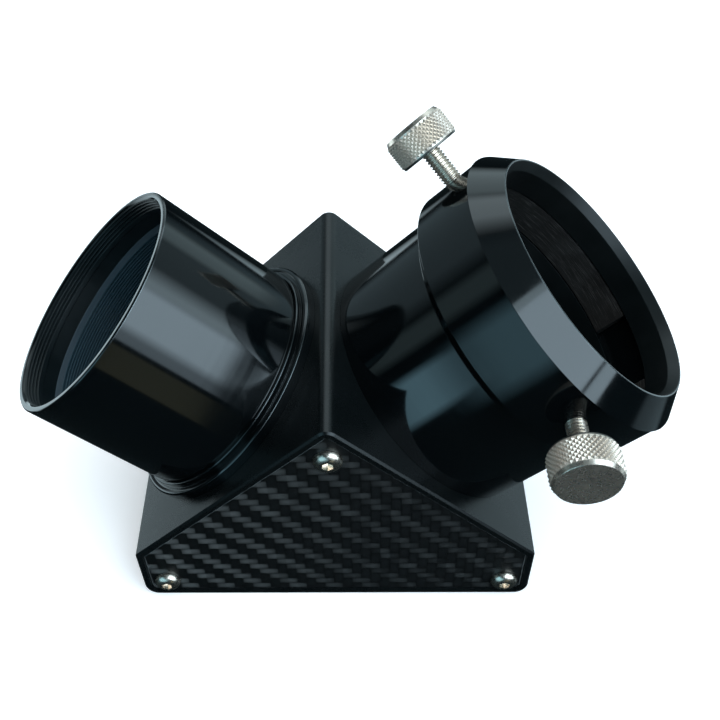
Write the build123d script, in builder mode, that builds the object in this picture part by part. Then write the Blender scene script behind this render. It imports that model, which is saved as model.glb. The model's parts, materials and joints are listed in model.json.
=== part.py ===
"""Two-inch mirror star diagonal: a prism-shaped housing that folds the light path by 90 degrees.

Frame: millimetres. +Z is up and the base plate lies at Z = 0. The housing's ridge runs along Y, the
nosepiece leaves up and to -X, the eyepiece holder leaves up and to +X, and the front is at -Y.
Both optical axes meet at the middle of the mirror's face.
"""
from build123d import *
import os
from math import cos, radians, sin, sqrt

os.makedirs("parts", exist_ok=True)

# Housing
PORT_DISTANCE = 31.5  # from the mirror's centre to each slanted face
MIRROR_HEIGHT = 13.4  # height of the mirror's face over the base
HOUSING_HALF_WIDTH = 42.1
HOUSING_DEPTH = 63.5
RIDGE_RADIUS = 2.3
SHOULDER_RADIUS = 0.8
FOOT_RADIUS = 3.0
HOUSING_EDGE_CHAMFER = 0.4
APEX_HEIGHT = MIRROR_HEIGHT + PORT_DISTANCE * sqrt(2)
SHOULDER_HEIGHT = APEX_HEIGHT - HOUSING_HALF_WIDTH
LIGHT_RADIUS = 24.0
SOCKET_RADIUS = 26.0
SOCKET_DEPTH = 4.0

# Side plates and their screws
POCKET_INSET = 1.5
POCKET_DEPTH = 1.6
PLATE_THICKNESS = 1.2
PLATE_GAP = 0.1
PLATE_CHAMFER = 0.3
SCREW_RADIUS = 1.5
SCREW_HOLE_RADIUS = 1.55
SCREW_CLEARANCE_RADIUS = 1.7
BUTTON_RADIUS = 2.85
BUTTON_HEIGHT = 1.65
BUTTON_RIM = 0.35
SOCKET_FLATS = 2.0
SOCKET_KEY_DEPTH = 1.0
SIDE_SCREW_LENGTH = 6.0
SIDE_SCREW_PLACES = {"top": (0, 48.6), "left": (-36.7, 5.3), "right": (36.7, 5.3)}

# Mirror, pads and base plate
MIRROR_RADII = (36.5, 26.5)
MIRROR_THICKNESS = 8.0
MIRROR_CLEARANCE = 1.0
MIRROR_BEVEL = 0.5
MIRROR_TOP_GAP = 0.1
BASE_THICKNESS = 3.2
BASE_SIZE = (77.0, 58.0)
BASE_CORNER = 4.0
PAD_RADIUS = 5.0
PAD_CIRCLE = 16.0
PAD_COUNT = 3
BASE_SCREW_SPACING = (66.0, 45.0)
BASE_SCREW_LENGTH = 10.0
COUNTERSINK_RADIUS = 2.9
COUNTERSINK_ANGLE = 90

# Nosepiece
BARREL_RADIUS = 50.8 / 2
NOSE_END = 67.8  # distance of the mouth from the mirror's centre
SPIGOT_RADIUS = 25.9
SPIGOT_START = 27.7
ADAPTER_BORE = 24.6
FLANGE_RADIUS = 27.8
FLANGE_TOP = PORT_DISTANCE + 2.4
FLANGE_CHAMFER = 0.35
NOSE_THREAD_RADIUS = 24.5
NOSE_THREAD_START = 28.0
SHOULDER_RING_RADIUS = 26.0
SHOULDER_RING_TOP = FLANGE_TOP + 1.0
SHOULDER_RING_CHAMFER = 0.3
UNDERCUT_RADIUS = 25.0
UNDERCUT_TOP = SHOULDER_RING_TOP + 0.6
BAFFLE_RADIUS = 22.9
BAFFLE_TOP = 59.4
RELIEF_RADIUS = 24.1
FILTER_THREAD_START = 63.6
FILTER_THREAD_RADIUS = 23.6
MOUTH_CHAMFER = 0.3

# Eyepiece holder
HOLDER_BORE = 25.5
HOLDER_STOP_RADIUS = 23.5
HOLDER_STOP = 35.0
TUBE_RADIUS = 28.0
TUBE_END = 53.3
COLLAR_RADIUS = 31.0
COLLAR_START = 55.7
LIP_START = 68.2
LIP_RADIUS = 31.35
HOLDER_END = 73.4
RIM_OUTER_RADIUS = 26.8
RIM_INNER_RADIUS = 26.5
FLARE_START = 71.4
RECESS_RADIUS = 27.45
RECESS_START = 58.8
RECESS_END = 66.2

# Compression ring
RING_INNER_RADIUS = 25.6
RING_OUTER_RADIUS = 27.2
RING_SIDE_GAP = 0.15
RING_GAP_MIDDLE = 184
RING_GAP_ANGLE = 40

# Thumbscrews. Each has an angle about the eyepiece axis, where 0 is the uppermost line of the collar
# and 90 is the front, and the distance from that axis to its head's underside
THUMBSCREW_PLACES = {"upper": (-30, 38.2), "lower": (90, 37.4)}
THUMBSCREW_STATION = 62.5
THREAD_HOLE_RADIUS = 2.0
STUD_RADIUS = 1.95
STUD_LENGTH = 9.3
HEAD_LENGTH = 6.5
HEAD_RADIUS = 6.5
HEAD_INNER_CHAMFER = 0.4
HEAD_OUTER_CHAMFER = 0.8
TIP_SOCKET_RADIUS = 1.06
TIP_SOCKET_DEPTH = 2.1
TIP_REACH = 10.0
TIP_NOSE_RADIUS = 1.5
TIP_NOSE_LENGTH = 0.6
TIP_PIN_RADIUS = 1.0
TIP_PIN_LENGTH = 2.0

MIRROR_CENTRE = Vector(0, 0, MIRROR_HEIGHT)
NOSE_DIRECTION = Vector(-1, 0, 1).normalized()
EYEPIECE_DIRECTION = Vector(1, 0, 1).normalized()
FRONT_DIRECTION = Vector(0, -1, 0)

# Across each port: the plane's normal runs out along the optical axis
NOSE_PLANE = Plane(MIRROR_CENTRE, x_dir=EYEPIECE_DIRECTION, z_dir=NOSE_DIRECTION)
EYEPIECE_PLANE = Plane(MIRROR_CENTRE, x_dir=NOSE_DIRECTION, z_dir=EYEPIECE_DIRECTION)
# Along each port: x is the radius and y is the distance from the mirror's centre
NOSE_SECTION = Plane(MIRROR_CENTRE, x_dir=EYEPIECE_DIRECTION, z_dir=FRONT_DIRECTION)
EYEPIECE_SECTION = Plane(MIRROR_CENTRE, x_dir=NOSE_DIRECTION, z_dir=-FRONT_DIRECTION)
NOSE_AXIS = Axis(MIRROR_CENTRE, NOSE_DIRECTION)
EYEPIECE_AXIS = Axis(MIRROR_CENTRE, EYEPIECE_DIRECTION)


def save(part, name):
    """Label a finished piece and write it as its own STEP file."""
    part.label = name
    export_step(part, f"parts/{name}.step")


def side_outline(plane, inset):
    """Sketch the housing's five-sided outline with rounded corners, drawn in by the inset."""
    with BuildSketch(plane) as outline:
        with BuildLine():
            Polyline(
                (-HOUSING_HALF_WIDTH, 0),
                (HOUSING_HALF_WIDTH, 0),
                (HOUSING_HALF_WIDTH, SHOULDER_HEIGHT),
                (0, APEX_HEIGHT),
                (-HOUSING_HALF_WIDTH, SHOULDER_HEIGHT),
                close=True,
            )
        make_face()
        feet = outline.vertices().group_by(Axis.Y)[0]
        fillet(feet, FOOT_RADIUS)
        apex = outline.vertices().sort_by(Axis.Y)[-1]
        fillet(apex, RIDGE_RADIUS)
        shoulders = outline.vertices().filter_by_position(
            Axis.Y, SHOULDER_HEIGHT - SHOULDER_RADIUS, SHOULDER_HEIGHT + SHOULDER_RADIUS
        )
        fillet(shoulders, SHOULDER_RADIUS)
        if inset:
            offset(amount=-inset)
    return outline.sketch


def turned(section, axis, outline):
    """Turn a closed outline of (radius, distance along the axis) points about an optical axis."""
    with BuildPart() as piece:
        with BuildSketch(section):
            with BuildLine():
                Polyline(*outline, close=True)
            make_face()
        revolve(axis=axis)
    return piece.part


def side_plane(side):
    """The plane of a side face, with its normal out of the housing: -1 is the front, 1 the back."""
    return Plane((0, side * HOUSING_DEPTH / 2, 0), x_dir=(-side, 0, 0), z_dir=(0, side, 0))


def side_screw_points(side):
    """Screw places in a side plane's own coordinates."""
    return {name: (-side * x, z) for name, (x, z) in SIDE_SCREW_PLACES.items()}


def make_light_path():
    """The two crossing light bores, cut off at the mirror's face."""
    with BuildPart() as light_path:
        for plane in (NOSE_PLANE, EYEPIECE_PLANE):
            with BuildSketch(plane.offset(-LIGHT_RADIUS)):
                Circle(LIGHT_RADIUS)
            extrude(amount=LIGHT_RADIUS + PORT_DISTANCE)
            with BuildSketch(plane.offset(PORT_DISTANCE - SOCKET_DEPTH)):
                Circle(SOCKET_RADIUS)
            extrude(amount=2 * SOCKET_DEPTH)
        split(bisect_by=Plane.XY.offset(MIRROR_HEIGHT), keep=Keep.TOP)
    return light_path.part


def make_housing():
    """One machined block with the light bores, the mirror's well and the pockets for the plates."""
    light_path = make_light_path()
    with BuildPart() as housing:
        extrude(side_outline(Plane.XZ, 0), amount=HOUSING_DEPTH / 2, both=True)
        front_and_back = housing.faces().filter_by(Axis.Y)
        chamfer(front_and_back.edges(), HOUSING_EDGE_CHAMFER)
        for side in (-1, 1):
            pocket = side_outline(side_plane(side), POCKET_INSET)
            extrude(pocket, amount=-POCKET_DEPTH, mode=Mode.SUBTRACT)
            with BuildSketch(side_plane(side)):
                with Locations(*side_screw_points(side).values()):
                    Circle(SCREW_HOLE_RADIUS)
            extrude(amount=-POCKET_DEPTH - SIDE_SCREW_LENGTH, mode=Mode.SUBTRACT)
        with BuildSketch(Plane.XY):
            Ellipse(MIRROR_RADII[0] + MIRROR_CLEARANCE, MIRROR_RADII[1] + MIRROR_CLEARANCE)
        extrude(amount=MIRROR_HEIGHT + MIRROR_TOP_GAP, mode=Mode.SUBTRACT)
        with BuildSketch(Plane.XY):
            width, depth = BASE_SIZE
            RectangleRounded(width + 2 * PLATE_GAP, depth + 2 * PLATE_GAP, BASE_CORNER)
        extrude(amount=BASE_THICKNESS, mode=Mode.SUBTRACT)
        with BuildSketch(Plane.XY):
            with GridLocations(*BASE_SCREW_SPACING, 2, 2):
                Circle(SCREW_HOLE_RADIUS)
        extrude(amount=BASE_SCREW_LENGTH, mode=Mode.SUBTRACT)
        add(light_path, mode=Mode.SUBTRACT)
    save(housing.part, "housing")


def make_side_plate(name, side):
    """A thin carbon-fibre plate in the side pocket, with three screw holes."""
    with BuildPart() as side_plate:
        outline = side_outline(side_plane(side).offset(-POCKET_DEPTH), POCKET_INSET + PLATE_GAP)
        extrude(outline, amount=PLATE_THICKNESS)
        outer_face = side_plate.faces().filter_by(Axis.Y).sort_by(Axis.Y)[0 if side < 0 else -1]
        chamfer(outer_face.edges(), PLATE_CHAMFER)
        with BuildSketch(side_plane(side)):
            with Locations(*side_screw_points(side).values()):
                Circle(SCREW_CLEARANCE_RADIUS)
        extrude(amount=-POCKET_DEPTH, mode=Mode.SUBTRACT)
    save(side_plate.part, name)


def make_button_screw(name, seat):
    """A button-head screw with a hex socket, on a seat plane whose normal points out of the hole."""
    with BuildPart() as screw:
        with BuildSketch(seat):
            Circle(BUTTON_RADIUS)
        extrude(amount=BUTTON_HEIGHT)
        crown = screw.edges().filter_by(GeomType.CIRCLE).sort_by(Axis(seat.origin, seat.z_dir))[-1]
        fillet(crown, BUTTON_HEIGHT - BUTTON_RIM)
        with BuildSketch(seat.offset(BUTTON_HEIGHT)):
            RegularPolygon(SOCKET_FLATS / 2, 6, major_radius=False)
        extrude(amount=-SOCKET_KEY_DEPTH, mode=Mode.SUBTRACT)
        with BuildSketch(seat):
            Circle(SCREW_RADIUS)
        extrude(amount=-SIDE_SCREW_LENGTH)
    save(screw.part, name)


def make_side_screws():
    """Three button-head screws on each side plate."""
    for side_name, side in (("front", -1), ("back", 1)):
        seat = side_plane(side).offset(PLATE_THICKNESS - POCKET_DEPTH)
        for place, point in side_screw_points(side).items():
            screw_seat = Plane(seat.from_local_coords(point), x_dir=seat.x_dir, z_dir=seat.z_dir)
            make_button_screw(f"{side_name}_screw_{place}", screw_seat)


def make_base_plate():
    """The plate that closes the housing's foot and carries the mirror."""
    with BuildPart() as base_plate:
        with BuildSketch(Plane.XY):
            RectangleRounded(*BASE_SIZE, BASE_CORNER)
        extrude(amount=BASE_THICKNESS)
        with Locations(Plane.XY * Rotation(180, 0, 0)):
            with GridLocations(*BASE_SCREW_SPACING, 2, 2):
                CounterSinkHole(
                    SCREW_CLEARANCE_RADIUS,
                    COUNTERSINK_RADIUS + PLATE_GAP,
                    counter_sink_angle=COUNTERSINK_ANGLE,
                )
    save(base_plate.part, "base_plate")


def make_base_screws():
    """Four countersunk screws that hold the base plate from below."""
    span_x, span_y = BASE_SCREW_SPACING
    places = [(x, y) for y in (-span_y / 2, span_y / 2) for x in (-span_x / 2, span_x / 2)]
    cone_height = COUNTERSINK_RADIUS - SCREW_RADIUS
    for number, (x, y) in enumerate(places, start=1):
        with BuildPart() as screw:
            with BuildSketch(Plane((x, y, 0), x_dir=(1, 0, 0), z_dir=(0, -1, 0))):
                with BuildLine():
                    Polyline(
                        (0, PLATE_GAP),
                        (COUNTERSINK_RADIUS, PLATE_GAP),
                        (SCREW_RADIUS, PLATE_GAP + cone_height),
                        (SCREW_RADIUS, BASE_SCREW_LENGTH),
                        (0, BASE_SCREW_LENGTH),
                        close=True,
                    )
                make_face()
            revolve(axis=Axis((x, y, 0), (0, 0, 1)))
            with BuildSketch(Plane((x, y, 0))):
                RegularPolygon(SOCKET_FLATS / 2, 6, major_radius=False)
            extrude(amount=PLATE_GAP + SOCKET_KEY_DEPTH, mode=Mode.SUBTRACT)
        save(screw.part, f"base_screw_{number}")


def make_mirror():
    """The elliptical first-surface mirror, face up."""
    with BuildPart() as mirror:
        with BuildSketch(Plane.XY.offset(MIRROR_HEIGHT - MIRROR_THICKNESS)):
            Ellipse(*MIRROR_RADII)
        extrude(amount=MIRROR_THICKNESS)
        rim = mirror.faces().filter_by(Axis.Z).sort_by(Axis.Z)[-1].edges()
        chamfer(rim, MIRROR_BEVEL)
    save(mirror.part, "mirror")


def make_mirror_pads():
    """Three soft pads between the base plate and the mirror."""
    pad_height = MIRROR_HEIGHT - MIRROR_THICKNESS - BASE_THICKNESS
    for number, location in enumerate(PolarLocations(PAD_CIRCLE, PAD_COUNT), start=1):
        with BuildPart() as pad:
            with BuildSketch(Plane(location).offset(BASE_THICKNESS)):
                Circle(PAD_RADIUS)
            extrude(amount=pad_height)
        save(pad.part, f"mirror_pad_{number}")


def make_adapter_ring():
    """The threaded ring that joins the nosepiece to the housing."""
    outline = (
        (ADAPTER_BORE, SPIGOT_START),
        (SPIGOT_RADIUS, SPIGOT_START),
        (SPIGOT_RADIUS, PORT_DISTANCE),
        (FLANGE_RADIUS, PORT_DISTANCE),
        (FLANGE_RADIUS, FLANGE_TOP - FLANGE_CHAMFER),
        (FLANGE_RADIUS - FLANGE_CHAMFER, FLANGE_TOP),
        (ADAPTER_BORE, FLANGE_TOP),
    )
    save(turned(NOSE_SECTION, NOSE_AXIS, outline), "adapter_ring")


def make_nosepiece():
    """The two-inch barrel, with its filter thread at the mouth and its baffled bore behind."""
    outline = (
        (BAFFLE_RADIUS, NOSE_THREAD_START),
        (NOSE_THREAD_RADIUS, NOSE_THREAD_START),
        (NOSE_THREAD_RADIUS, FLANGE_TOP),
        (SHOULDER_RING_RADIUS, FLANGE_TOP),
        (SHOULDER_RING_RADIUS, SHOULDER_RING_TOP - SHOULDER_RING_CHAMFER),
        (SHOULDER_RING_RADIUS - SHOULDER_RING_CHAMFER, SHOULDER_RING_TOP),
        (UNDERCUT_RADIUS, SHOULDER_RING_TOP),
        (UNDERCUT_RADIUS, UNDERCUT_TOP),
        (BARREL_RADIUS, UNDERCUT_TOP),
        (BARREL_RADIUS, NOSE_END - MOUTH_CHAMFER),
        (BARREL_RADIUS - MOUTH_CHAMFER, NOSE_END),
        (FILTER_THREAD_RADIUS + 2 * MOUTH_CHAMFER, NOSE_END),
        (FILTER_THREAD_RADIUS, NOSE_END - 2 * MOUTH_CHAMFER),
        (FILTER_THREAD_RADIUS, FILTER_THREAD_START),
        (RELIEF_RADIUS, FILTER_THREAD_START),
        (RELIEF_RADIUS, BAFFLE_TOP),
        (BAFFLE_RADIUS, BAFFLE_TOP),
    )
    save(turned(NOSE_SECTION, NOSE_AXIS, outline), "nosepiece")


def thumbscrew_plane(angle):
    """A plane on the eyepiece axis whose normal is a thumbscrew's axis, pointing outwards."""
    turn = radians(angle)
    outwards = NOSE_DIRECTION * cos(turn) + FRONT_DIRECTION * sin(turn)
    centre = MIRROR_CENTRE + EYEPIECE_DIRECTION * THUMBSCREW_STATION
    return Plane(centre, x_dir=EYEPIECE_DIRECTION, z_dir=outwards)


def make_eyepiece_holder():
    """The turned tube, collar and tapered lip that take a two-inch eyepiece."""
    outline = (
        (HOLDER_STOP_RADIUS, SPIGOT_START),
        (SPIGOT_RADIUS, SPIGOT_START),
        (SPIGOT_RADIUS, PORT_DISTANCE),
        (TUBE_RADIUS, PORT_DISTANCE),
        (TUBE_RADIUS, TUBE_END),
        (COLLAR_RADIUS, COLLAR_START),
        (COLLAR_RADIUS, LIP_START),
        (LIP_RADIUS, LIP_START),
        (RIM_OUTER_RADIUS, HOLDER_END),
        (RIM_INNER_RADIUS, HOLDER_END),
        (HOLDER_BORE, FLARE_START),
        (HOLDER_BORE, RECESS_END),
        (RECESS_RADIUS, RECESS_END),
        (RECESS_RADIUS, RECESS_START),
        (HOLDER_BORE, RECESS_START),
        (HOLDER_BORE, HOLDER_STOP),
        (HOLDER_STOP_RADIUS, HOLDER_STOP),
    )
    with BuildPart() as holder:
        add(turned(EYEPIECE_SECTION, EYEPIECE_AXIS, outline))
        for angle, _ in THUMBSCREW_PLACES.values():
            with BuildSketch(thumbscrew_plane(angle).offset(HOLDER_BORE)):
                Circle(THREAD_HOLE_RADIUS)
            extrude(amount=LIP_RADIUS - HOLDER_BORE, mode=Mode.SUBTRACT)
    save(holder.part, "eyepiece_holder")


def make_compression_ring():
    """The split ring in the holder's recess that spreads the thumbscrews' grip."""
    outline = (
        (RING_INNER_RADIUS, RECESS_START + RING_SIDE_GAP),
        (RING_OUTER_RADIUS, RECESS_START + RING_SIDE_GAP),
        (RING_OUTER_RADIUS, RECESS_END - RING_SIDE_GAP),
        (RING_INNER_RADIUS, RECESS_END - RING_SIDE_GAP),
    )
    with BuildPart() as ring:
        add(turned(EYEPIECE_SECTION, EYEPIECE_AXIS, outline))
        with BuildSketch(EYEPIECE_PLANE.offset(RECESS_START)):
            with BuildLine():
                reach = 2 * RING_OUTER_RADIUS
                first = RING_GAP_MIDDLE - RING_GAP_ANGLE / 2
                start = PolarLine((0, 0), reach, first)
                end = PolarLine((0, 0), reach, first + RING_GAP_ANGLE)
                Line(start @ 1, end @ 1)
            make_face()
        extrude(amount=RECESS_END - RECESS_START, mode=Mode.SUBTRACT)
    save(ring.part, "compression_ring")


def make_thumbscrew(name, angle, head_start):
    """A steel thumbscrew: a stud with a socket for its soft tip, and a round head."""
    plane = thumbscrew_plane(angle)
    outwards = Axis(plane.origin, plane.z_dir)
    stud_end = plane.offset(head_start - STUD_LENGTH)
    with BuildPart() as thumbscrew:
        with BuildSketch(plane.offset(head_start)):
            Circle(HEAD_RADIUS)
        extrude(amount=HEAD_LENGTH)
        head_rims = thumbscrew.edges().filter_by(GeomType.CIRCLE).sort_by(outwards)
        inner_rim, outer_rim = head_rims
        chamfer(outer_rim, HEAD_OUTER_CHAMFER)
        chamfer(inner_rim, HEAD_INNER_CHAMFER)
        with BuildSketch(stud_end):
            Circle(STUD_RADIUS)
        extrude(amount=STUD_LENGTH)
        with BuildSketch(stud_end):
            Circle(TIP_SOCKET_RADIUS)
        extrude(amount=TIP_SOCKET_DEPTH, mode=Mode.SUBTRACT)
    save(thumbscrew.part, name)


def make_thumbscrew_tip(name, angle, head_start):
    """A soft tip that sits in the stud's end, so that the ring is pressed without being scored."""
    plane = thumbscrew_plane(angle).offset(head_start - TIP_REACH)
    with BuildPart() as tip:
        with BuildSketch(plane):
            Circle(TIP_NOSE_RADIUS)
        extrude(amount=TIP_NOSE_LENGTH)
        with BuildSketch(plane):
            Circle(TIP_PIN_RADIUS)
        extrude(amount=TIP_NOSE_LENGTH + TIP_PIN_LENGTH)
    save(tip.part, name)


make_housing()
make_side_plate("front_side_plate", -1)
make_side_plate("back_side_plate", 1)
make_side_screws()
make_base_plate()
make_base_screws()
make_mirror()
make_mirror_pads()
make_adapter_ring()
make_nosepiece()
make_eyepiece_holder()
make_compression_ring()
for screw_name, screw_place in THUMBSCREW_PLACES.items():
    make_thumbscrew(f"{screw_name}_thumbscrew", *screw_place)
    make_thumbscrew_tip(f"{screw_name}_thumbscrew_tip", *screw_place)
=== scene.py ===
"""Looks of a two-inch mirror star diagonal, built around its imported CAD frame.

Blender units are metres. Sizes written here are millimetres times MM, and places come from the frame:
the mirror's centre, the two optical axes and the thumbscrews' joints.
"""
import json
from math import cos, pi, radians, sin, tau

import bmesh
import bpy
from mathutils import Matrix, Vector


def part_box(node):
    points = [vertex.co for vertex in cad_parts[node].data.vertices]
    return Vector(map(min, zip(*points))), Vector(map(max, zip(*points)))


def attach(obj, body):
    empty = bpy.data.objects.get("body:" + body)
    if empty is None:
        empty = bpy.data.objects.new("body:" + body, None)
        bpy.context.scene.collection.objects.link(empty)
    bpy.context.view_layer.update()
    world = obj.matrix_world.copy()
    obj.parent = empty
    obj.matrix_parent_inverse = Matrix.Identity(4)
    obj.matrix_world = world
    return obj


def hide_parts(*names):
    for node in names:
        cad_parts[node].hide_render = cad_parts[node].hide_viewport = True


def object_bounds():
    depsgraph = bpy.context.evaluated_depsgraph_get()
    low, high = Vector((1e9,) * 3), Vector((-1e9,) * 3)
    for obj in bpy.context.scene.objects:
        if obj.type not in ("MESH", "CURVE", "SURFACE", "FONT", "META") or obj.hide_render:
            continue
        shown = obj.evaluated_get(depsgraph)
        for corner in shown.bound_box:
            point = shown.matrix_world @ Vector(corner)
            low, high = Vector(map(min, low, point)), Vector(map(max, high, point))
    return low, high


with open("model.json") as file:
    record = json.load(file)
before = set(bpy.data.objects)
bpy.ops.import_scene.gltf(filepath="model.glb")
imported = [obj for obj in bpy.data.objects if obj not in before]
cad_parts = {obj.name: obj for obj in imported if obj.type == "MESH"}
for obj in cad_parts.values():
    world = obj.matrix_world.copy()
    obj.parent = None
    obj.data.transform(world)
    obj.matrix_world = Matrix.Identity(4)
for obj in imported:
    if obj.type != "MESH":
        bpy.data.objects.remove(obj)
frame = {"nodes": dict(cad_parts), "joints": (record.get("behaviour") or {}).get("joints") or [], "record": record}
cad_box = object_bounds()

MM = 0.001
ROOT = "diagonal_body"
SMOOTH_SEGMENTS = 240  # round the optical tubes

mounts = {mount["name"]: mount for mount in frame["record"]["mounts"]}
joints = {joint["name"]: joint for joint in frame["joints"]}
MIRROR_CENTRE = Vector((0, 0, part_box("mirror")[1].z))
NOSE_DIRECTION = Vector(mounts["nosepiece_barrel"]["axis"]).normalized()
EYEPIECE_DIRECTION = Vector(mounts["eyepiece_bore"]["axis"]).normalized()
FRONT = Vector((0, -1, 0))


# ---------------------------------------------------------------- node helpers
def new_material(name):
    """An empty node material with its Principled shader."""
    material = bpy.data.materials.new(name)
    material.use_nodes = True
    tree = material.node_tree
    tree.nodes.clear()
    output = tree.nodes.new("ShaderNodeOutputMaterial")
    shader = tree.nodes.new("ShaderNodeBsdfPrincipled")
    tree.links.new(shader.outputs["BSDF"], output.inputs["Surface"])
    return material, tree, shader


def feed(tree, socket, value):
    """Set a socket to a constant, or link another node's output to it."""
    if isinstance(value, bpy.types.NodeSocket):
        tree.links.new(value, socket)
    else:
        socket.default_value = value


def add_node(tree, kind, inputs=None, **settings):
    """Add a node, set its properties, then fill its inputs by name or number."""
    made = tree.nodes.new(kind)
    for key, value in settings.items():
        setattr(made, key, value)
    for key, value in (inputs or {}).items():
        feed(tree, made.inputs[key], value)
    return made


def calc(tree, operation, first, second=0.0, third=0.0):
    """One maths step on numbers or sockets."""
    inputs = {0: first, 1: second, 2: third}
    return add_node(tree, "ShaderNodeMath", inputs, operation=operation).outputs[0]


def remap(tree, value, low, high, new_low, new_high):
    """Stretch a value from one range to another, held at the ends."""
    inputs = {0: value, 1: low, 2: high, 3: new_low, 4: new_high}
    return add_node(tree, "ShaderNodeMapRange", inputs).outputs[0]


def noise(tree, vector, scale, detail=3.0, roughness=0.55):
    """Plain noise between about 0.3 and 0.7; scale is in cells per metre."""
    inputs = {"Vector": vector, "Scale": scale, "Detail": detail, "Roughness": roughness}
    return add_node(tree, "ShaderNodeTexNoise", inputs).outputs["Fac"]


def mix_colour(tree, factor, first, second):
    """Blend two colours."""
    made = add_node(tree, "ShaderNodeMix", data_type="RGBA")
    feed(tree, made.inputs["Factor"], factor)
    feed(tree, made.inputs["A"], first)
    feed(tree, made.inputs["B"], second)
    return made.outputs["Result"]


def bump(tree, height, distance, strength):
    """Turn a height from 0 to 1 into a bump of the given depth in metres."""
    inputs = {"Height": height, "Distance": distance, "Strength": strength}
    return add_node(tree, "ShaderNodeBump", inputs).outputs["Normal"]


def object_place(tree):
    """The point on the surface in the piece's own coordinates."""
    return add_node(tree, "ShaderNodeTexCoord").outputs["Object"]


def split_xyz(tree, vector):
    """A vector's three parts."""
    return add_node(tree, "ShaderNodeSeparateXYZ", {0: vector}).outputs[:3]


def join_xyz(tree, x, y, z):
    """Make a vector from three numbers or sockets."""
    return add_node(tree, "ShaderNodeCombineXYZ", {0: x, 1: y, 2: z}).outputs[0]


def lathe_place(tree, place):
    """Distance from the Z axis and height along it, so that a pattern runs round a turned surface."""
    x, y, z = split_xyz(tree, place)
    squares = calc(tree, "ADD", calc(tree, "MULTIPLY", x, x), calc(tree, "MULTIPLY", y, y))
    return join_xyz(tree, calc(tree, "SQRT", squares), 0.0, z)


def choose(tree, factor, first, second):
    """Blend two numbers."""
    return add_node(tree, "ShaderNodeMix", {"Factor": factor, 2: first, 3: second}).outputs[0]


def true_normal(tree):
    """The three parts of the face's own normal."""
    return split_xyz(tree, add_node(tree, "ShaderNodeNewGeometry").outputs["True Normal"])


# ---------------------------------------------------------------- materials
def turned_anodised():
    """Glossy black anodising over a lathe-turned surface, with Z as the lathe's axis."""
    material, tree, shader = new_material("gloss_black_anodised")
    place = object_place(tree)
    turned = lathe_place(tree, place)
    lines = noise(tree, turned, 9000.0, 2.0, 0.6)
    drag = noise(tree, turned, 700.0, 2.0)
    smudge = noise(tree, place, 60.0, 4.0, 0.6)
    dust = add_node(tree, "ShaderNodeTexVoronoi", {"Vector": place, "Scale": 900.0}).outputs["Distance"]
    speck = remap(tree, dust, 0.05, 0.09, 1.0, 0.0)
    tint = mix_colour(tree, smudge, (0.0006, 0.0011, 0.0014, 1), (0.0014, 0.0022, 0.0027, 1))
    dusted = mix_colour(tree, calc(tree, "MULTIPLY", speck, 0.03), tint, (0.2, 0.2, 0.2, 1))
    feed(tree, shader.inputs["Base Color"], dusted)
    smeared = remap(tree, smudge, 0.35, 0.7, 0.06, 0.10)
    dragged = remap(tree, drag, 0.3, 0.7, -0.01, 0.02)
    feed(tree, shader.inputs["Roughness"], calc(tree, "ADD", smeared, dragged))
    shader.inputs["Specular IOR Level"].default_value = 0.62
    height = calc(tree, "ADD", calc(tree, "MULTIPLY", lines, 0.6), calc(tree, "MULTIPLY", drag, 0.4))
    feed(tree, shader.inputs["Normal"], bump(tree, height, 0.0012 * MM, 0.6))
    return material


def worn_edge():
    """A sharp machined edge where the black skin is thin and the metal shines through."""
    material, tree, shader = new_material("bright_machined_edge")
    wear = noise(tree, object_place(tree), 120.0, 3.0)
    bare = remap(tree, wear, 0.3, 0.7, 0.0, 1.0)
    colour = mix_colour(tree, bare, (0.045, 0.053, 0.057, 1), (0.18, 0.19, 0.194, 1))
    feed(tree, shader.inputs["Base Color"], colour)
    shader.inputs["Metallic"].default_value = 1.0
    feed(tree, shader.inputs["Roughness"], remap(tree, wear, 0.3, 0.7, 0.16, 0.3))
    return material


def inner_anodised(name, dark, light):
    """Dull anodising inside the tubes, where the bores were left as turned."""
    material, tree, shader = new_material(name)
    place = object_place(tree)
    cloud = noise(tree, place, 120.0, 4.0)
    lines = noise(tree, join_xyz(tree, 0.0, 0.0, split_xyz(tree, place)[2]), 6000.0, 2.0)
    colour = mix_colour(tree, cloud, dark, light)
    feed(tree, shader.inputs["Base Color"], colour)
    feed(tree, shader.inputs["Roughness"], remap(tree, cloud, 0.3, 0.7, 0.38, 0.5))
    feed(tree, shader.inputs["Normal"], bump(tree, lines, 0.003 * MM, 0.6))
    return material


def blasted_anodised():
    """Satin black anodising over a bead-blasted surface."""
    material, tree, shader = new_material("satin_black_anodised")
    place = object_place(tree)
    grain = noise(tree, place, 5200.0, 2.0, 0.7)
    cloud = noise(tree, place, 90.0, 4.0, 0.6)
    rub = noise(tree, place, 1400.0, 5.0, 0.7)
    colour = mix_colour(tree, cloud, (0.0012, 0.0020, 0.0023, 1), (0.0026, 0.0038, 0.0042, 1))
    pale = remap(tree, rub, 0.66, 0.78, 0.0, 0.25)
    feed(tree, shader.inputs["Base Color"], mix_colour(tree, pale, colour, (0.012, 0.014, 0.015, 1)))
    worn = remap(tree, cloud, 0.3, 0.7, 0.25, 0.32)
    grainy = remap(tree, grain, 0.3, 0.7, -0.03, 0.03)
    feed(tree, shader.inputs["Roughness"], calc(tree, "ADD", worn, grainy))
    shader.inputs["Specular IOR Level"].default_value = 0.42
    feed(tree, shader.inputs["Normal"], bump(tree, grain, 0.006 * MM, 0.5))
    return material


TOW = 2.0 * MM  # width of one carbon tow


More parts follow.
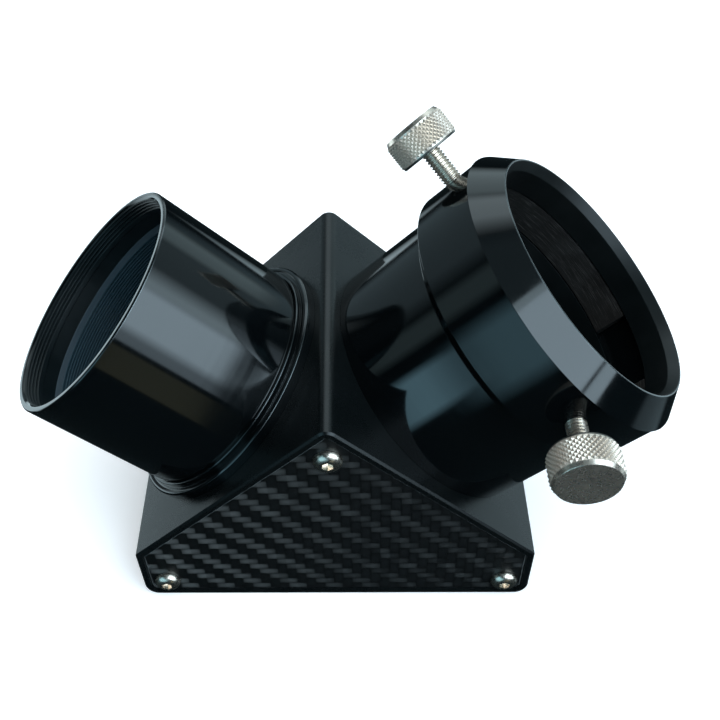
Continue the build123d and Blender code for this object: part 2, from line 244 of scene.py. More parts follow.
def carbon_weave():
    """Two-by-two twill of carbon tows under clear resin, on a plate that faces along Y."""
    material, tree, shader = new_material("carbon_fibre_twill")
    x, _, z = split_xyz(tree, object_place(tree))
    across = calc(tree, "DIVIDE", x, TOW)
    up = calc(tree, "DIVIDE", z, TOW)
    column = calc(tree, "FLOOR", across)
    row = calc(tree, "FLOOR", up)
    across_part = calc(tree, "FRACT", across)
    up_part = calc(tree, "FRACT", up)
    stair = calc(tree, "FLOORED_MODULO", calc(tree, "ADD", column, row), 4.0)
    weft_on_top = calc(tree, "LESS_THAN", stair, 1.5)
    # where along its float a tow is: 0 and 1 are the ends, where it dives under
    weft_run = calc(tree, "DIVIDE", calc(tree, "ADD", stair, across_part), 2.0)
    warp_run = calc(tree, "DIVIDE", calc(tree, "ADD", calc(tree, "SUBTRACT", stair, 2.0), up_part), 2.0)

    def hump(part):
        """Rise from 0 to 1 and back as a part runs from 0 to 1."""
        return calc(tree, "SINE", calc(tree, "MULTIPLY", part, pi))

    weft_crown = calc(tree, "MULTIPLY", hump(weft_run), hump(up_part))
    warp_crown = calc(tree, "MULTIPLY", hump(warp_run), hump(across_part))
    crown = choose(tree, weft_on_top, warp_crown, weft_crown)
    crown = calc(tree, "POWER", calc(tree, "MAXIMUM", crown, 0.0), 0.35)
    # single filaments run along each tow
    weft_place = join_xyz(tree, calc(tree, "MULTIPLY", x, 0.03), 0.0, z)
    warp_place = join_xyz(tree, x, 0.0, calc(tree, "MULTIPLY", z, 0.03))
    weft_fibre = noise(tree, weft_place, 14000.0, 2.0, 0.7)
    warp_fibre = noise(tree, warp_place, 14000.0, 2.0, 0.7)
    fibre = choose(tree, weft_on_top, warp_fibre, weft_fibre)
    patch = noise(tree, join_xyz(tree, column, 0.0, row), 0.9, 2.0)
    # the weft tows are painted paler than the warp: a painted sheen, standing in for the light their filaments
    # catch
    weft_sheen_colour = mix_colour(tree, fibre, (0.012, 0.014, 0.0145, 1), (0.100, 0.108, 0.108, 1))
    warp_colour = mix_colour(tree, fibre, (0.0006, 0.0011, 0.0011, 1), (0.0035, 0.0050, 0.0050, 1))
    tow_colour = mix_colour(tree, weft_on_top, warp_colour, weft_sheen_colour)
    # some patches of cloth are duller at random, and the weft's painted sheen fades towards the plate's +X end
    patch_dullness_and_sheen_fade = calc(
        tree, "ADD", remap(tree, patch, 0.35, 0.7, 0.0, 0.35), remap(tree, x, -0.034, 0.008, 0.0, 0.66)
    )
    tow_colour = mix_colour(tree, patch_dullness_and_sheen_fade, tow_colour, (0.006, 0.007, 0.0075, 1))
    tow_colour = mix_colour(tree, crown, (0.0015, 0.0015, 0.0015, 1), tow_colour)
    # the cut edge of the plate is bare resin and fibre ends
    facing = calc(tree, "ABSOLUTE", true_normal(tree)[1])
    edge = remap(tree, facing, 0.85, 0.95, 1.0, 0.0)
    feed(tree, shader.inputs["Base Color"], mix_colour(tree, edge, tow_colour, (0.16, 0.18, 0.185, 1)))
    feed(tree, shader.inputs["Roughness"], remap(tree, fibre, 0.3, 0.7, 0.30, 0.46))
    shader.inputs["Specular IOR Level"].default_value = 0.30
    shader.inputs["Coat Weight"].default_value = 0.12
    shader.inputs["Coat Roughness"].default_value = 0.15
    height = calc(tree, "ADD", calc(tree, "MULTIPLY", crown, 0.8), calc(tree, "MULTIPLY", fibre, 0.2))
    feed(tree, shader.inputs["Normal"], bump(tree, height, 0.05 * MM, 0.8))
    return material


def stainless(name, low_rough, high_rough, line_depth, metal=1.0, painted_shade=0.0):
    """Stainless steel, turned about Z, with faint lathe lines; the last argument mixes in painted shade, a dark
    colour standing in for shade.
    """
    material, tree, shader = new_material(name)
    place = object_place(tree)
    lathe = noise(tree, lathe_place(tree, place), 9000.0, 3.0, 0.6)
    cloud = noise(tree, place, 1800.0, 4.0)
    clean = mix_colour(tree, cloud, (0.76, 0.66, 0.565, 1), (0.92, 0.805, 0.695, 1))
    # painted shade: the last argument darkens the steel's colour towards a shade colour
    feed(tree, shader.inputs["Base Color"], mix_colour(tree, painted_shade, clean, (0.05, 0.055, 0.055, 1)))
    shader.inputs["Metallic"].default_value = metal
    feed(tree, shader.inputs["Roughness"], remap(tree, cloud, 0.3, 0.7, low_rough, high_rough))
    feed(tree, shader.inputs["Normal"], bump(tree, lathe, line_depth, 0.6))
    return material


def ring_bronze():
    """Dark patinated bronze of the split ring, with scratches from barrels turned in it."""
    material, tree, shader = new_material("dark_patinated_bronze")
    place = object_place(tree)
    x, y, z = split_xyz(tree, place)
    angle = calc(tree, "ARCTAN2", y, x)
    drawn_out = join_xyz(tree, calc(tree, "MULTIPLY", angle, 0.0006), 0.0, z)
    around = noise(tree, drawn_out, 8000.0, 3.0, 0.65)
    cloud = noise(tree, place, 160.0, 5.0, 0.6)
    dark = mix_colour(tree, cloud, (0.034, 0.034, 0.034, 1), (0.085, 0.082, 0.079, 1))
    scratch = remap(tree, around, 0.54, 0.68, 0.0, 0.75)
    feed(tree, shader.inputs["Base Color"], mix_colour(tree, scratch, dark, (0.30, 0.29, 0.275, 1)))
    shader.inputs["Metallic"].default_value = 0.85
    feed(tree, shader.inputs["Roughness"], remap(tree, cloud, 0.3, 0.7, 0.32, 0.48))
    feed(tree, shader.inputs["Normal"], bump(tree, around, 0.004 * MM, 0.7))
    return material


def mirror_surface():
    """Aluminised top face over a ground-glass rim and back, told apart by which way a face looks."""
    material, tree, shader = new_material("mirror_coating_and_glass")
    place = object_place(tree)
    coated = calc(tree, "GREATER_THAN", true_normal(tree)[2], 0.95)
    grain = noise(tree, place, 3000.0, 2.0)
    film = noise(tree, place, 40.0, 3.0)
    glass = mix_colour(tree, grain, (0.30, 0.36, 0.34, 1), (0.42, 0.48, 0.46, 1))
    coat = mix_colour(tree, film, (0.88, 0.90, 0.92, 1), (0.93, 0.94, 0.95, 1))
    feed(tree, shader.inputs["Base Color"], mix_colour(tree, coated, glass, coat))
    feed(tree, shader.inputs["Metallic"], coated)
    polish = remap(tree, film, 0.3, 0.7, 0.015, 0.03)
    feed(tree, shader.inputs["Roughness"], choose(tree, coated, 0.55, polish))
    return material


def soft_plastic(name, dark, light, rough):
    """A matte moulded material with fine grain, for the rubber pads and the nylon tips."""
    material, tree, shader = new_material(name)
    grain = noise(tree, object_place(tree), 2500.0, 3.0)
    feed(tree, shader.inputs["Base Color"], mix_colour(tree, grain, dark, light))
    feed(tree, shader.inputs["Roughness"], remap(tree, grain, 0.3, 0.7, rough - 0.08, rough + 0.08))
    feed(tree, shader.inputs["Normal"], bump(tree, grain, 0.01 * MM, 0.5))
    return material


def paper_floor():
    """Pale seamless studio paper, lifted to white by a little light of its own."""
    material, tree, shader = new_material("studio_paper")
    shader.inputs["Emission Color"].default_value = (0.95, 0.97, 1.0, 1)
    shader.inputs["Emission Strength"].default_value = 0.42
    tooth = noise(tree, object_place(tree), 900.0, 3.0)
    colour = mix_colour(tree, tooth, (0.86, 0.865, 0.87, 1), (0.89, 0.89, 0.895, 1))
    feed(tree, shader.inputs["Base Color"], colour)
    shader.inputs["Roughness"].default_value = 0.9
    return material


GLOSS_BLACK = turned_anodised()
INNER_BLACK = inner_anodised(
    "dull_inner_anodised", (0.0008, 0.0026, 0.0034, 1), (0.0020, 0.0048, 0.0062, 1)
)
# the step and the baffles are paler copies of the bore's anodising: painted light, where light falls inside the
# barrel
STEP_BLACK = inner_anodised("step_anodised_painted_lit", (0.022, 0.036, 0.048, 1), (0.032, 0.050, 0.064, 1))
BAFFLE_BLACK = inner_anodised("baffle_anodised", (0.010, 0.025, 0.036, 1), (0.015, 0.036, 0.050, 1))
HOLDER_BLACK = inner_anodised(
    "holder_bore_anodised", (0.0006, 0.0014, 0.0016, 1), (0.0016, 0.0030, 0.0034, 1)
)
BRIGHT_EDGE = worn_edge()
SATIN_BLACK = blasted_anodised()
CARBON = carbon_weave()
THUMB_STEEL = stainless("turned_stainless", 0.24, 0.32, 0.004 * MM, metal=0.955)
KNURL_STEEL = stainless("knurled_stainless", 0.30, 0.40, 0.0015 * MM, metal=0.82)
# painted shade on the underside of the thumbscrew heads, where they sit against the holder
SHADED_STEEL = stainless("shaded_stainless", 0.35, 0.45, 0.0015 * MM, painted_shade=0.85)
SCREW_STEEL = stainless("polished_screw_steel", 0.22, 0.32, 0.0006 * MM)
BRONZE = ring_bronze()
MIRROR_COAT = mirror_surface()
RUBBER = soft_plastic("black_silicone", (0.012, 0.012, 0.012, 1), (0.03, 0.03, 0.03, 1), 0.75)
NYLON = soft_plastic("white_nylon", (0.62, 0.60, 0.55, 1), (0.74, 0.72, 0.67, 1), 0.5)


# ---------------------------------------------------------------- mesh helpers
def placed(origin, z_dir, x_hint):
    """A matrix that stands a piece's Z along a direction, with its X near a hint."""
    z_axis = z_dir.normalized()
    y_axis = z_axis.cross(x_hint).normalized()
    x_axis = y_axis.cross(z_axis)
    matrix = Matrix((x_axis, y_axis, z_axis)).transposed().to_4x4()
    matrix.translation = origin
    return matrix


NOSE_PLACE = placed(MIRROR_CENTRE, NOSE_DIRECTION, EYEPIECE_DIRECTION)
EYEPIECE_PLACE = placed(MIRROR_CENTRE, EYEPIECE_DIRECTION, NOSE_DIRECTION)


def add_piece(name, mesh, place, body, materials, replaced):
    """Put a finished mesh in the scene, on its body and in place of its CAD node."""
    piece = bpy.data.objects.new(name, mesh)
    bpy.context.scene.collection.objects.link(piece)
    piece.matrix_world = place
    for material in materials:
        if material.name not in mesh.materials:
            mesh.materials.append(material)
    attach(piece, body)
    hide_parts(replaced)
    return piece


def finish_mesh(name, work, sharp_angle=40):
    """Turn a bmesh into a smooth-shaded mesh with sharp edges above an angle in degrees."""
    bmesh.ops.recalc_face_normals(work, faces=work.faces)
    mesh = bpy.data.meshes.new(name)
    work.to_mesh(mesh)
    work.free()
    for polygon in mesh.polygons:
        polygon.use_smooth = True
    mesh.set_sharp_from_angle(angle=radians(sharp_angle))
    return mesh


BLACK, EDGE, INNER, STEP, BAFFLE = range(5)  # places in a turned piece's list of materials


def soften(corners, size):
    """Round each corner of a closed outline with three points.

    A corner is (radius, distance, skin), where skin numbers the material of the edge that follows the
    corner and, for a bright edge, of the corner itself only.
    """
    points, skins = [], []
    count = len(corners)
    for index, (radius, distance, skin) in enumerate(corners):
        here = Vector((radius, distance))
        before = Vector(corners[index - 1][:2]) - here
        after = Vector(corners[(index + 1) % count][:2]) - here
        cut = min(size, before.length / 3, after.length / 3)
        first = here + before.normalized() * cut
        last = here + after.normalized() * cut
        middle = (first + last) / 4 + here / 2
        points += [first, middle, last]
        skins += [skin, skin, BLACK if skin == EDGE else skin]
    return points, skins


def on_circle(work, radius, angle, height):
    """A new vertex at a radius, angle and height, with lengths in millimetres."""
    return work.verts.new((radius * MM * cos(angle), radius * MM * sin(angle), height * MM))


def turn_outline(name, corners, size, arc=tau, start=0.0, segments=SMOOTH_SEGMENTS):
    """Turn a closed outline about Z, whole or as an arc with its two ends closed."""
    points, skins = soften(corners, size)
    work = bmesh.new()
    whole = arc == tau
    steps = segments if whole else segments + 1
    rings = []
    for step in range(steps):
        angle = start + arc * step / segments
        rings.append([on_circle(work, point.x, angle, point.y) for point in points])
    count = len(points)
    for step in range(segments):
        here, there = rings[step], rings[(step + 1) % steps]
        for index in range(count):
            after = (index + 1) % count
            face = work.faces.new((here[index], there[index], there[after], here[after]))
            face.material_index = skins[index]
    if not whole:
        work.faces.new(rings[0])
        work.faces.new(rings[-1])
    return finish_mesh(name, work)


def even_shading(piece):
    """Shade by face area, so that a small rounded edge doesn't bend the gloss of the long wall beside it."""
    modifier = piece.modifiers.new("even_shading", "WEIGHTED_NORMAL")
    modifier.mode = "FACE_AREA"
    modifier.weight = 100
    modifier.keep_sharp = True


def cut_away(piece, tools):
    """Cut the tools' shapes out of a piece, leave the result in its mesh and remove the tools."""
    for tool in tools:
        modifier = piece.modifiers.new("cut", "BOOLEAN")
        modifier.operation = "DIFFERENCE"
        modifier.solver = "EXACT"
        modifier.object = tool
    depsgraph = bpy.context.evaluated_depsgraph_get()
    mesh = bpy.data.meshes.new_from_object(piece.evaluated_get(depsgraph))
    piece.modifiers.clear()
    piece.data = mesh
    for tool in tools:
        bpy.data.objects.remove(tool)


def prism(name, sides, radius, low, high, place):
    """A plain prism along Z, used only as a cutting tool."""
    work = bmesh.new()
    bmesh.ops.create_cone(
        work, cap_ends=True, segments=sides, radius1=radius, radius2=radius, depth=high - low
    )
    bmesh.ops.translate(work, verts=work.verts, vec=(0, 0, (low + high) / 2))
    mesh = bpy.data.meshes.new(name)
    work.to_mesh(mesh)
    work.free()
    tool = bpy.data.objects.new(name, mesh)
    bpy.context.scene.collection.objects.link(tool)
    tool.matrix_world = place
    return tool


def groove_corners(crest, root, low, high, pitch, skin):
    """Outline corners of a fine internal thread, from its high end down to its low end."""
    corners = []
    turns = int((high - low) / pitch)
    for turn in range(turns):
        top = high - turn * pitch
        corners.append((crest, top - 0.15 * pitch, skin))
        corners.append((root, top - 0.5 * pitch, skin))
        corners.append((crest, top - 0.85 * pitch, skin))
    return corners


# ---------------------------------------------------------------- nosepiece side
def make_nosepiece():
    """The two-inch barrel: filter thread, smooth relief, a step and baffle threads inside, the step and baffles
    painted paler as if lit.
    """
    flange_top, mouth = 33.9, 67.8
    corners = [
        (24.5, 28.0, BLACK), (24.5, flange_top, BLACK), (26.0, flange_top, BLACK), (26.0, 34.75, EDGE),
        (25.85, 34.9, EDGE), (25.0, 34.9, BLACK), (25.0, 35.5, BLACK), (25.4, 35.5, EDGE),
        (25.4, mouth - 0.28, EDGE), (25.12, mouth, EDGE), (24.25, mouth, EDGE),
        (23.8, mouth - 0.5, INNER),
    ]
    corners += groove_corners(23.6, 24.0, 63.6, 67.2, 0.75, INNER)
    corners += [(23.6, 63.3, INNER), (24.15, 63.1, INNER), (24.15, 59.9, STEP), (22.9, 59.1, BAFFLE)]
    corners += groove_corners(22.9, 23.3, 28.4, 58.8, 0.6, BAFFLE)
    corners += [(22.9, 28.0, BLACK)]
    mesh = turn_outline("nosepiece_turned", corners, 0.09)
    skins = [GLOSS_BLACK, BRIGHT_EDGE, INNER_BLACK, STEP_BLACK, BAFFLE_BLACK]
    even_shading(add_piece("nosepiece_turned", mesh, NOSE_PLACE, ROOT, skins, "nosepiece"))


def make_adapter_ring():
    """The stepped flange at the foot of the barrel."""
    corners = [
        (24.6, 27.7, BLACK), (25.9, 27.7, BLACK), (25.9, 31.5, BLACK), (27.8, 31.5, BLACK),
        (27.8, 33.55, EDGE), (27.45, 33.9, EDGE), (26.75, 33.9, BLACK), (26.75, 33.6, BLACK),
        (26.45, 33.6, BLACK), (26.45, 33.9, EDGE), (24.6, 33.9, BLACK),
    ]
    mesh = turn_outline("adapter_ring_turned", corners, 0.08)
    skins = [GLOSS_BLACK, BRIGHT_EDGE]
    name = "adapter_ring_turned"
    even_shading(add_piece(name, mesh, NOSE_PLACE, ROOT, skins, "adapter_ring"))


# ---------------------------------------------------------------- eyepiece side
SIDES = ("upper", "lower")
HEAD_LENGTH, HEAD_RADIUS, OUTER_CHAMFER, INNER_CHAMFER = 6.5, 6.5, 0.8, 0.4
SCREW_HOLE_RADIUS = 2.0
RING_GAP_MIDDLE, RING_GAP = radians(184), radians(40)


def head_underside(side, place):
    """The middle of a head's underside: the CAD screw's farthest vertex along its axis, less the head."""
    origin, outwards = place.translation, place.to_3x3().col[2]
    node = frame["nodes"][side + "_thumbscrew"]
    reach = max((node.matrix_world @ v.co - origin).dot(outwards) for v in node.data.vertices)
    return origin + outwards * (reach - HEAD_LENGTH * MM)


def thumbscrew_place(side):
    """Where a thumbscrew stands: on the eyepiece axis, with Z out along the screw."""
    joint = joints[side + "_screw_turn"]
    return placed(Vector(joint["pos_m"]), Vector(joint["axis"]), EYEPIECE_DIRECTION)


def make_eyepiece_holder():
    """Tube, conical step, collar and tapered lip, with the two thumbscrew holes."""
    corners = [
        (23.5, 27.7, BLACK), (25.9, 27.7, BLACK), (25.9, 31.5, BLACK), (28.0, 31.5, BLACK),
        (28.0, 53.3, BLACK), (31.0, 55.7, BLACK), (31.0, 68.2, BLACK), (31.35, 68.2, BLACK),
        (26.85, 73.4, EDGE), (26.5, 73.4, INNER), (25.5, 71.4, INNER), (25.5, 66.2, EDGE),
        (27.45, 66.2, BLACK), (27.45, 58.8, BLACK), (25.5, 58.8, INNER), (25.5, 35.0, INNER),
        (23.5, 35.0, EDGE),
    ]
    mesh = turn_outline("eyepiece_holder_turned", corners, 0.12)
    piece = add_piece(
        "eyepiece_holder_turned", mesh, EYEPIECE_PLACE, ROOT,
        [GLOSS_BLACK, BRIGHT_EDGE, HOLDER_BLACK], "eyepiece_holder",
    )
    tools = [
        prism(side + "_cut", 48, SCREW_HOLE_RADIUS * MM, 25.0 * MM, 34.0 * MM, thumbscrew_place(side))
        for side in SIDES
    ]
    cut_away(piece, tools)
    even_shading(piece)


def make_compression_ring():
    """The split ring in its recess; its gap faces the lower right."""
    corners = [
        (25.6, 58.95, BLACK), (27.2, 58.95, BLACK), (27.2, 66.05, BLACK), (25.6, 66.05, BLACK),
    ]
    name = "compression_ring_turned"
    first_end = RING_GAP_MIDDLE + RING_GAP / 2
    mesh = turn_outline(name, corners, 0.25, arc=tau - RING_GAP, start=first_end, segments=200)
    even_shading(add_piece(name, mesh, EYEPIECE_PLACE, ROOT, [BRONZE], "compression_ring"))


# ---------------------------------------------------------------- thumbscrews
STUD_CREST, STUD_ROOT, THREAD_PITCH, STUD_LENGTH = 1.95, 1.6, 0.7, 9.3
KNURL_COUNT, KNURL_DEPTH = 40, 0.34
DIAMOND_STRETCH = 1.15  # a diamond's height over its width
TURNED, KNURLED, SHADED = range(3)  # places in a thumbscrew's list of materials


def add_helical_thread(work, low, high, steps=48):
    """A real helical thread on a stud; each turn's crest and root wind up by one pitch."""
    profile = ((STUD_ROOT, 0.0), (STUD_CREST, 0.36), (STUD_CREST, 0.52), (STUD_ROOT, 0.88))
    turns = int((high - low) / THREAD_PITCH) + 2
    rows = []
    for turn in range(turns):
        for radius, part in profile:
            row = []
            for step in range(steps + 1):
                angle = tau * step / steps
                height = low + THREAD_PITCH * (turn - 1 + part + step / steps)
                held = min(max(height, low), high)
                reach = radius if held == height else STUD_ROOT
                row.append(on_circle(work, reach, angle, held))
            rows.append(row)
    for lower, upper in zip(rows, rows[1:]):
        for step in range(steps):
            work.faces.new((lower[step], lower[step + 1], upper[step + 1], upper[step]))
    bmesh.ops.remove_doubles(work, verts=work.verts, dist=0.002 * MM)
    bmesh.ops.dissolve_degenerate(work, edges=work.edges, dist=0.002 * MM)


def add_knurl(work, low, high, radius):
    """A band of raised diamonds: peaks and valleys alternate on a lattice, split along the valleys."""
    rows = 2 * round((high - low) / (tau * radius / KNURL_COUNT) / DIAMOND_STRETCH)
    columns = 2 * KNURL_COUNT
    lattice = []
    for row in range(rows + 1):
        ring = []
        for column in range(columns):
            peak = (row + column) % 2 == 1
            rim = row in (0, rows)
            reach = radius if peak and not rim else radius - KNURL_DEPTH
            angle = tau * column / columns
            height = low + (high - low) * row / rows
            ring.append(on_circle(work, reach, angle, height))
        lattice.append(ring)
    for row in range(rows):
        for column in range(columns):
            right = (column + 1) % columns
            a, b = lattice[row][column], lattice[row][right]
            c, d = lattice[row + 1][right], lattice[row + 1][column]
            if (row + column) % 2 == 1:
                work.faces.new((a, b, d))
                work.faces.new((b, c, d))
            else:
                work.faces.new((a, b, c))
                work.faces.new((a, c, d))
    return lattice[0], lattice[-1]


def close_end(work, ring, steps):
    """Close a knurled end with rings of (radius, height) and a centre point."""
    angles = [tau * column / len(ring) for column in range(len(ring))]
    for radius, height in steps:
        after = [on_circle(work, radius, angle, height) for angle in angles]
        for index in range(len(ring)):
            right = (index + 1) % len(ring)
            work.faces.new((ring[index], ring[right], after[right], after[index]))
        ring = after
    centre = work.verts.new((0, 0, steps[-1][1] * MM))
    for index in range(len(ring)):
        work.faces.new((ring[index], ring[(index + 1) % len(ring)], centre))


def make_thumbscrew(side):
    """A knurled head with chamfered ends on a threaded stud; Z = 0 is the head's underside."""
    work = bmesh.new()
    bottom, top = add_knurl(work, INNER_CHAMFER, HEAD_LENGTH - OUTER_CHAMFER, HEAD_RADIUS)
    outer, inner = HEAD_RADIUS - OUTER_CHAMFER, HEAD_RADIUS - INNER_CHAMFER
    # the outer end has a centre dimple, the underside a shallow recess round the stud
    close_end(work, top, [
        (outer + 0.08, HEAD_LENGTH - 0.08), (outer, HEAD_LENGTH - 0.02), (outer - 0.12, HEAD_LENGTH),
        (0.5, HEAD_LENGTH - 0.03), (0.3, HEAD_LENGTH - 0.12),
    ])
    close_end(work, bottom, [
        (inner, 0.04), (inner - 0.12, 0.0), (3.0, 0.0), (2.8, 0.25), (1.5, 0.3),
    ])
    add_helical_thread(work, -STUD_LENGTH, 0.25)
    place = thumbscrew_place(side)
    name = side + "_thumbscrew_knurled"
    mesh = finish_mesh(name, work, 24)
    for polygon in mesh.polygons:
        height, reach = polygon.center.z, polygon.center.xy.length
        if INNER_CHAMFER * MM < height < (HEAD_LENGTH - OUTER_CHAMFER) * MM:
            polygon.material_index = KNURLED
        # the underside's chamfer and recess ring get the steel with painted shade
        elif -0.01 * MM < height < INNER_CHAMFER * MM and reach > STUD_CREST * MM:
            polygon.material_index = SHADED
    place.translation = head_underside(side, place)
    steels = [THUMB_STEEL, KNURL_STEEL, SHADED_STEEL]
    add_piece(name, mesh, place, side + "_screw", steels, side + "_thumbscrew")


# ---------------------------------------------------------------- side screws
def button_mesh():
    """A domed head, seated on Z = 0, with a short shank below; its hex socket is cut afterwards."""
    corners = [
        (2.85, 0.0, BLACK), (2.85, 0.35, BLACK), (2.72, 0.75, BLACK), (2.40, 1.15, BLACK),
        (1.95, 1.45, BLACK), (1.55, 1.60, BLACK), (1.30, 1.65, BLACK), (0.02, 1.65, BLACK),
        (0.02, -6.0, BLACK), (1.5, -6.0, BLACK), (1.5, 0.0, BLACK),
    ]
    return turn_outline("button_screw", corners, 0.12, segments=72)


BUTTON_HEIGHT = 1.65
HEX_FLAT = 1.0  # half of the key's width across flats
HEX_FLOOR = 0.65


def make_button_screws():
    """Six button-head screws where the CAD screws are, all from one mesh."""
    mesh = button_mesh()
    first = None
    for side, outwards in (("front", FRONT), ("back", -FRONT)):
        for corner in ("top", "left", "right"):
            node = f"{side}_screw_{corner}"
            low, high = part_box(node)
            seat = (low + high) / 2
            seat.y = (low.y if side == "front" else high.y) - outwards.y * BUTTON_HEIGHT * MM
            place = placed(seat, outwards, Vector((1, 0, 0)))
            if first is not None:
                mesh = first.data
            piece = add_piece(node + "_domed", mesh, place, ROOT, [SCREW_STEEL], node)
            if first is None:
                hex_radius = HEX_FLAT * MM / cos(pi / 6)
                cut_away(piece, [prism("hex_key", 6, hex_radius, HEX_FLOOR * MM, 3.0 * MM, place)])
                first = piece


# ---------------------------------------------------------------- carried-over CAD nodes
def dress(node, material):
    """Give a CAD node's object a finished material in its own slots."""
    for material_slot in frame["nodes"][node].material_slots:
        material_slot.material = material


def dress_cad_nodes():
    """Materials for every node that keeps its CAD shape."""
    dress("housing", SATIN_BLACK)
    dress("base_plate", SATIN_BLACK)
    dress("front_side_plate", CARBON)
    dress("back_side_plate", CARBON)
    dress("mirror", MIRROR_COAT)
    for number in (1, 2, 3):
        dress(f"mirror_pad_{number}", RUBBER)
    for number in (1, 2, 3, 4):
        dress(f"base_screw_{number}", SCREW_STEEL)
    for side in SIDES:
        dress(side + "_thumbscrew_tip", NYLON)


# ---------------------------------------------------------------- studio
FLOOR_HALF = 3.0
LAMP_SIDE = 1.6
LAMP_POWER = 16.0


def add_floor():
    """A pale sheet of paper under the object; it stays out of the gloss."""
    work = bmesh.new()
    bmesh.ops.create_grid(work, x_segments=2, y_segments=2, size=FLOOR_HALF)
    mesh = bpy.data.meshes.new("floor")
    work.to_mesh(mesh)
    work.free()
    mesh.materials.append(paper_floor())
    floor = bpy.data.objects.new("floor", mesh)
    bpy.context.scene.collection.objects.link(floor)
    floor.location.z = cad_box[0].z
    floor.visible_glossy = False


# Soft boxes around the object, told by direction. Each is seen from an axis: "up" is the level frame,
# "nose" and "eyepiece" are the two optical axes. Numbers are the middle and half of the angle about
# that axis in degrees, the lowest and highest cosine to the axis, the softness of the angular edges
# in degrees and of the others as a cosine, and the colour times brightness.
# Angles: about "up", 0 is the front and 90 is +X; about an optical axis, 0 is towards the other
# optical axis and 90 is the front. A half angle over 180 means all the way round.
CARDS = (
    ("nose", 39, 25.5, -0.4255, 0.40, 0.8, 0.004, (1.05, 1.36, 1.57)),
    ("nose", 32, 22.5, -0.4255, 0.40, 7.0, 0.004, (3.0, 3.9, 4.5)),
    ("nose", 13, 16, -0.4255, 0.45, 9.0, 0.004, (1.9, 2.5, 2.8)),
    ("nose", 33, 12, -0.60, -0.458, 1.5, 0.006, (2.6, 3.4, 3.9)),
    ("nose", -22, 18, -0.4255, 0.50, 4.0, 0.01, (0.26, 0.36, 0.40)),
    ("nose", -50, 11, -0.4255, 0.30, 5.0, 0.02, (0.62, 0.85, 0.92)),
    ("nose", 82.5, 13.5, -0.4255, -0.30, 1.2, 0.004, (0.26, 0.27, 0.18)),
    ("eyepiece", 55, 19, -0.53, -0.45, 4.0, 0.03, (0.90, 1.70, 2.10)),
    ("eyepiece", 60, 26, -0.44, 0.05, 7.0, 0.03, (0.45, 0.88, 1.08)),
    ("eyepiece", 10, 9, -0.53, -0.30, 4.0, 0.03, (0.22, 0.32, 0.34)),
    ("up", -128, 30, -0.12, 0.50, 8.0, 0.05, (0.22, 0.31, 0.35)),
    ("up", 124, 27, -0.08, 0.75, 8.0, 0.05, (0.22, 0.33, 0.38)),
    ("up", 180, 24, 0.10, 0.60, 8.0, 0.08, (0.68, 0.87, 0.93)),
    ("up", 180, 26, 0.58, 0.86, 8.0, 0.06, (1.30, 1.60, 1.72)),
    ("up", 0, 400, 0.90, 2.0, 5.0, 0.06, (0.12, 0.17, 0.19)),
    ("up", 128, 32, -0.40, -0.15, 5.0, 0.02, (1.00, 1.32, 1.45)),
    ("up", 96, 16, -0.70, -0.42, 4.0, 0.03, (0.17, 0.24, 0.27)),
    ("up", -128, 32, -0.50, -0.20, 5.0, 0.02, (1.20, 1.53, 1.66)),
)


def card_frame(tree, direction, axis, zero):
    """The angle about an axis in degrees, from a zero direction towards the front, and the cosine to it."""
    def part(vector):
        """How far the direction points along a unit vector."""
        inputs = {0: direction, 1: vector}
        return add_node(tree, "ShaderNodeVectorMath", inputs, operation="DOT_PRODUCT").outputs["Value"]

    ahead, aside = part(zero), part(FRONT)
    return calc(tree, "DEGREES", calc(tree, "ARCTAN2", aside, ahead)), part(axis)


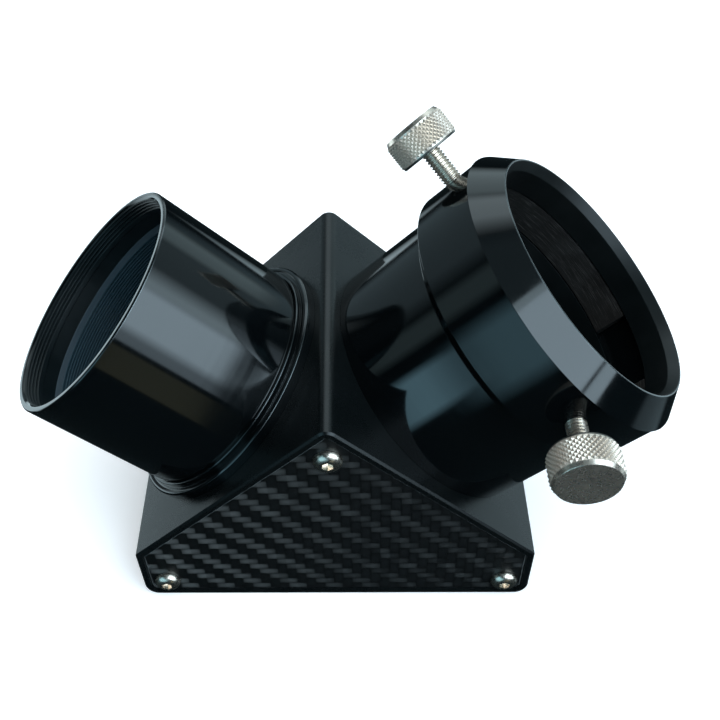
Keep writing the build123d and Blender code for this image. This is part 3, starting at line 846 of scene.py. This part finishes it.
def add_world():
    """A dark studio with soft boxes for gloss, pale where the camera looks past the floor."""
    world = bpy.data.worlds.new("studio")
    bpy.context.scene.world = world
    world.use_nodes = True
    tree = world.node_tree
    tree.nodes.clear()
    direction = add_node(tree, "ShaderNodeTexCoord").outputs["Generated"]
    from_right, height = card_frame(tree, direction, Vector((0, 0, 1)), Vector((1, 0, 0)))
    frames = {
        "up": (calc(tree, "SUBTRACT", 90.0, from_right), height),
        "nose": card_frame(tree, direction, NOSE_DIRECTION, EYEPIECE_DIRECTION),
        "eyepiece": card_frame(tree, direction, EYEPIECE_DIRECTION, NOSE_DIRECTION),
    }
    light = mix_colour(
        tree, remap(tree, height, -0.35, 0.2, 0.0, 1.0),
        (0.010, 0.016, 0.018, 1), (0.006, 0.010, 0.012, 1),
    )
    for axis, middle, half, low, high, soft_angle, soft_cosine, colour in CARDS:
        angle, cosine = frames[axis]
        turn = calc(tree, "WRAP", calc(tree, "SUBTRACT", angle, float(middle)), 180.0, -180.0)
        beside = remap(tree, calc(tree, "ABSOLUTE", turn), half - soft_angle, half + soft_angle, 1.0, 0.0)
        above = remap(tree, cosine, low - soft_cosine, low + soft_cosine, 0.0, 1.0)
        below = remap(tree, cosine, high - soft_cosine, high + soft_cosine, 1.0, 0.0)
        inside = calc(tree, "MULTIPLY", beside, calc(tree, "MULTIPLY", above, below))
        added = mix_colour(tree, inside, (0, 0, 0, 1), (*colour, 1))
        inputs = {0: light, 1: added}
        light = add_node(tree, "ShaderNodeVectorMath", inputs, operation="MAXIMUM").outputs[0]
    seen = add_node(tree, "ShaderNodeLightPath").outputs["Is Camera Ray"]
    shown = mix_colour(tree, seen, light, (0.95, 0.96, 0.97, 1))
    background = add_node(tree, "ShaderNodeBackground", {"Color": shown, "Strength": 1.0})
    output = tree.nodes.new("ShaderNodeOutputWorld")
    tree.links.new(background.outputs[0], output.inputs["Surface"])


def add_floor_light():
    """A broad overhead light that whitens the paper and leaves the gloss to the soft boxes."""
    light = bpy.data.lights.new("paper_light", "AREA")
    light.shape = "RECTANGLE"
    light.size, light.size_y = LAMP_SIDE, LAMP_SIDE
    light.energy = LAMP_POWER
    lamp = bpy.data.objects.new("paper_light", light)
    lamp.location = (0.1, 0.1, 1.3)
    lamp.visible_glossy = False
    bpy.context.scene.collection.objects.link(lamp)


def add_camera():
    """The close camera: above and in front, looking down at the ridge, slightly rolled."""
    place = Vector((5.5, -139.1, 192.0)) * MM
    azimuth, elevation, roll = radians(4.85), radians(47.0), radians(-4.48)
    back = Vector((sin(azimuth) * cos(elevation), -cos(azimuth) * cos(elevation), sin(elevation)))
    level = Vector((cos(azimuth), sin(azimuth), 0))
    upright = back.cross(level)
    right = level * cos(roll) + upright * sin(roll)
    up = upright * cos(roll) - level * sin(roll)
    data = bpy.data.cameras.new("camera")
    data.sensor_width = 36.0
    data.lens = 48.0
    data.shift_x = 0.083
    data.clip_start = 0.01
    camera = bpy.data.objects.new("camera", data)
    matrix = Matrix((right, up, back)).transposed().to_4x4()
    matrix.translation = place
    camera.matrix_world = matrix
    bpy.context.scene.collection.objects.link(camera)
    bpy.context.scene.camera = camera


make_nosepiece()
make_adapter_ring()
make_eyepiece_holder()
make_compression_ring()
for thumb_side in SIDES:
    make_thumbscrew(thumb_side)
make_button_screws()
dress_cad_nodes()
add_floor()
add_world()
add_floor_light()
add_camera()
bpy.context.scene.view_settings.view_transform = "Standard"
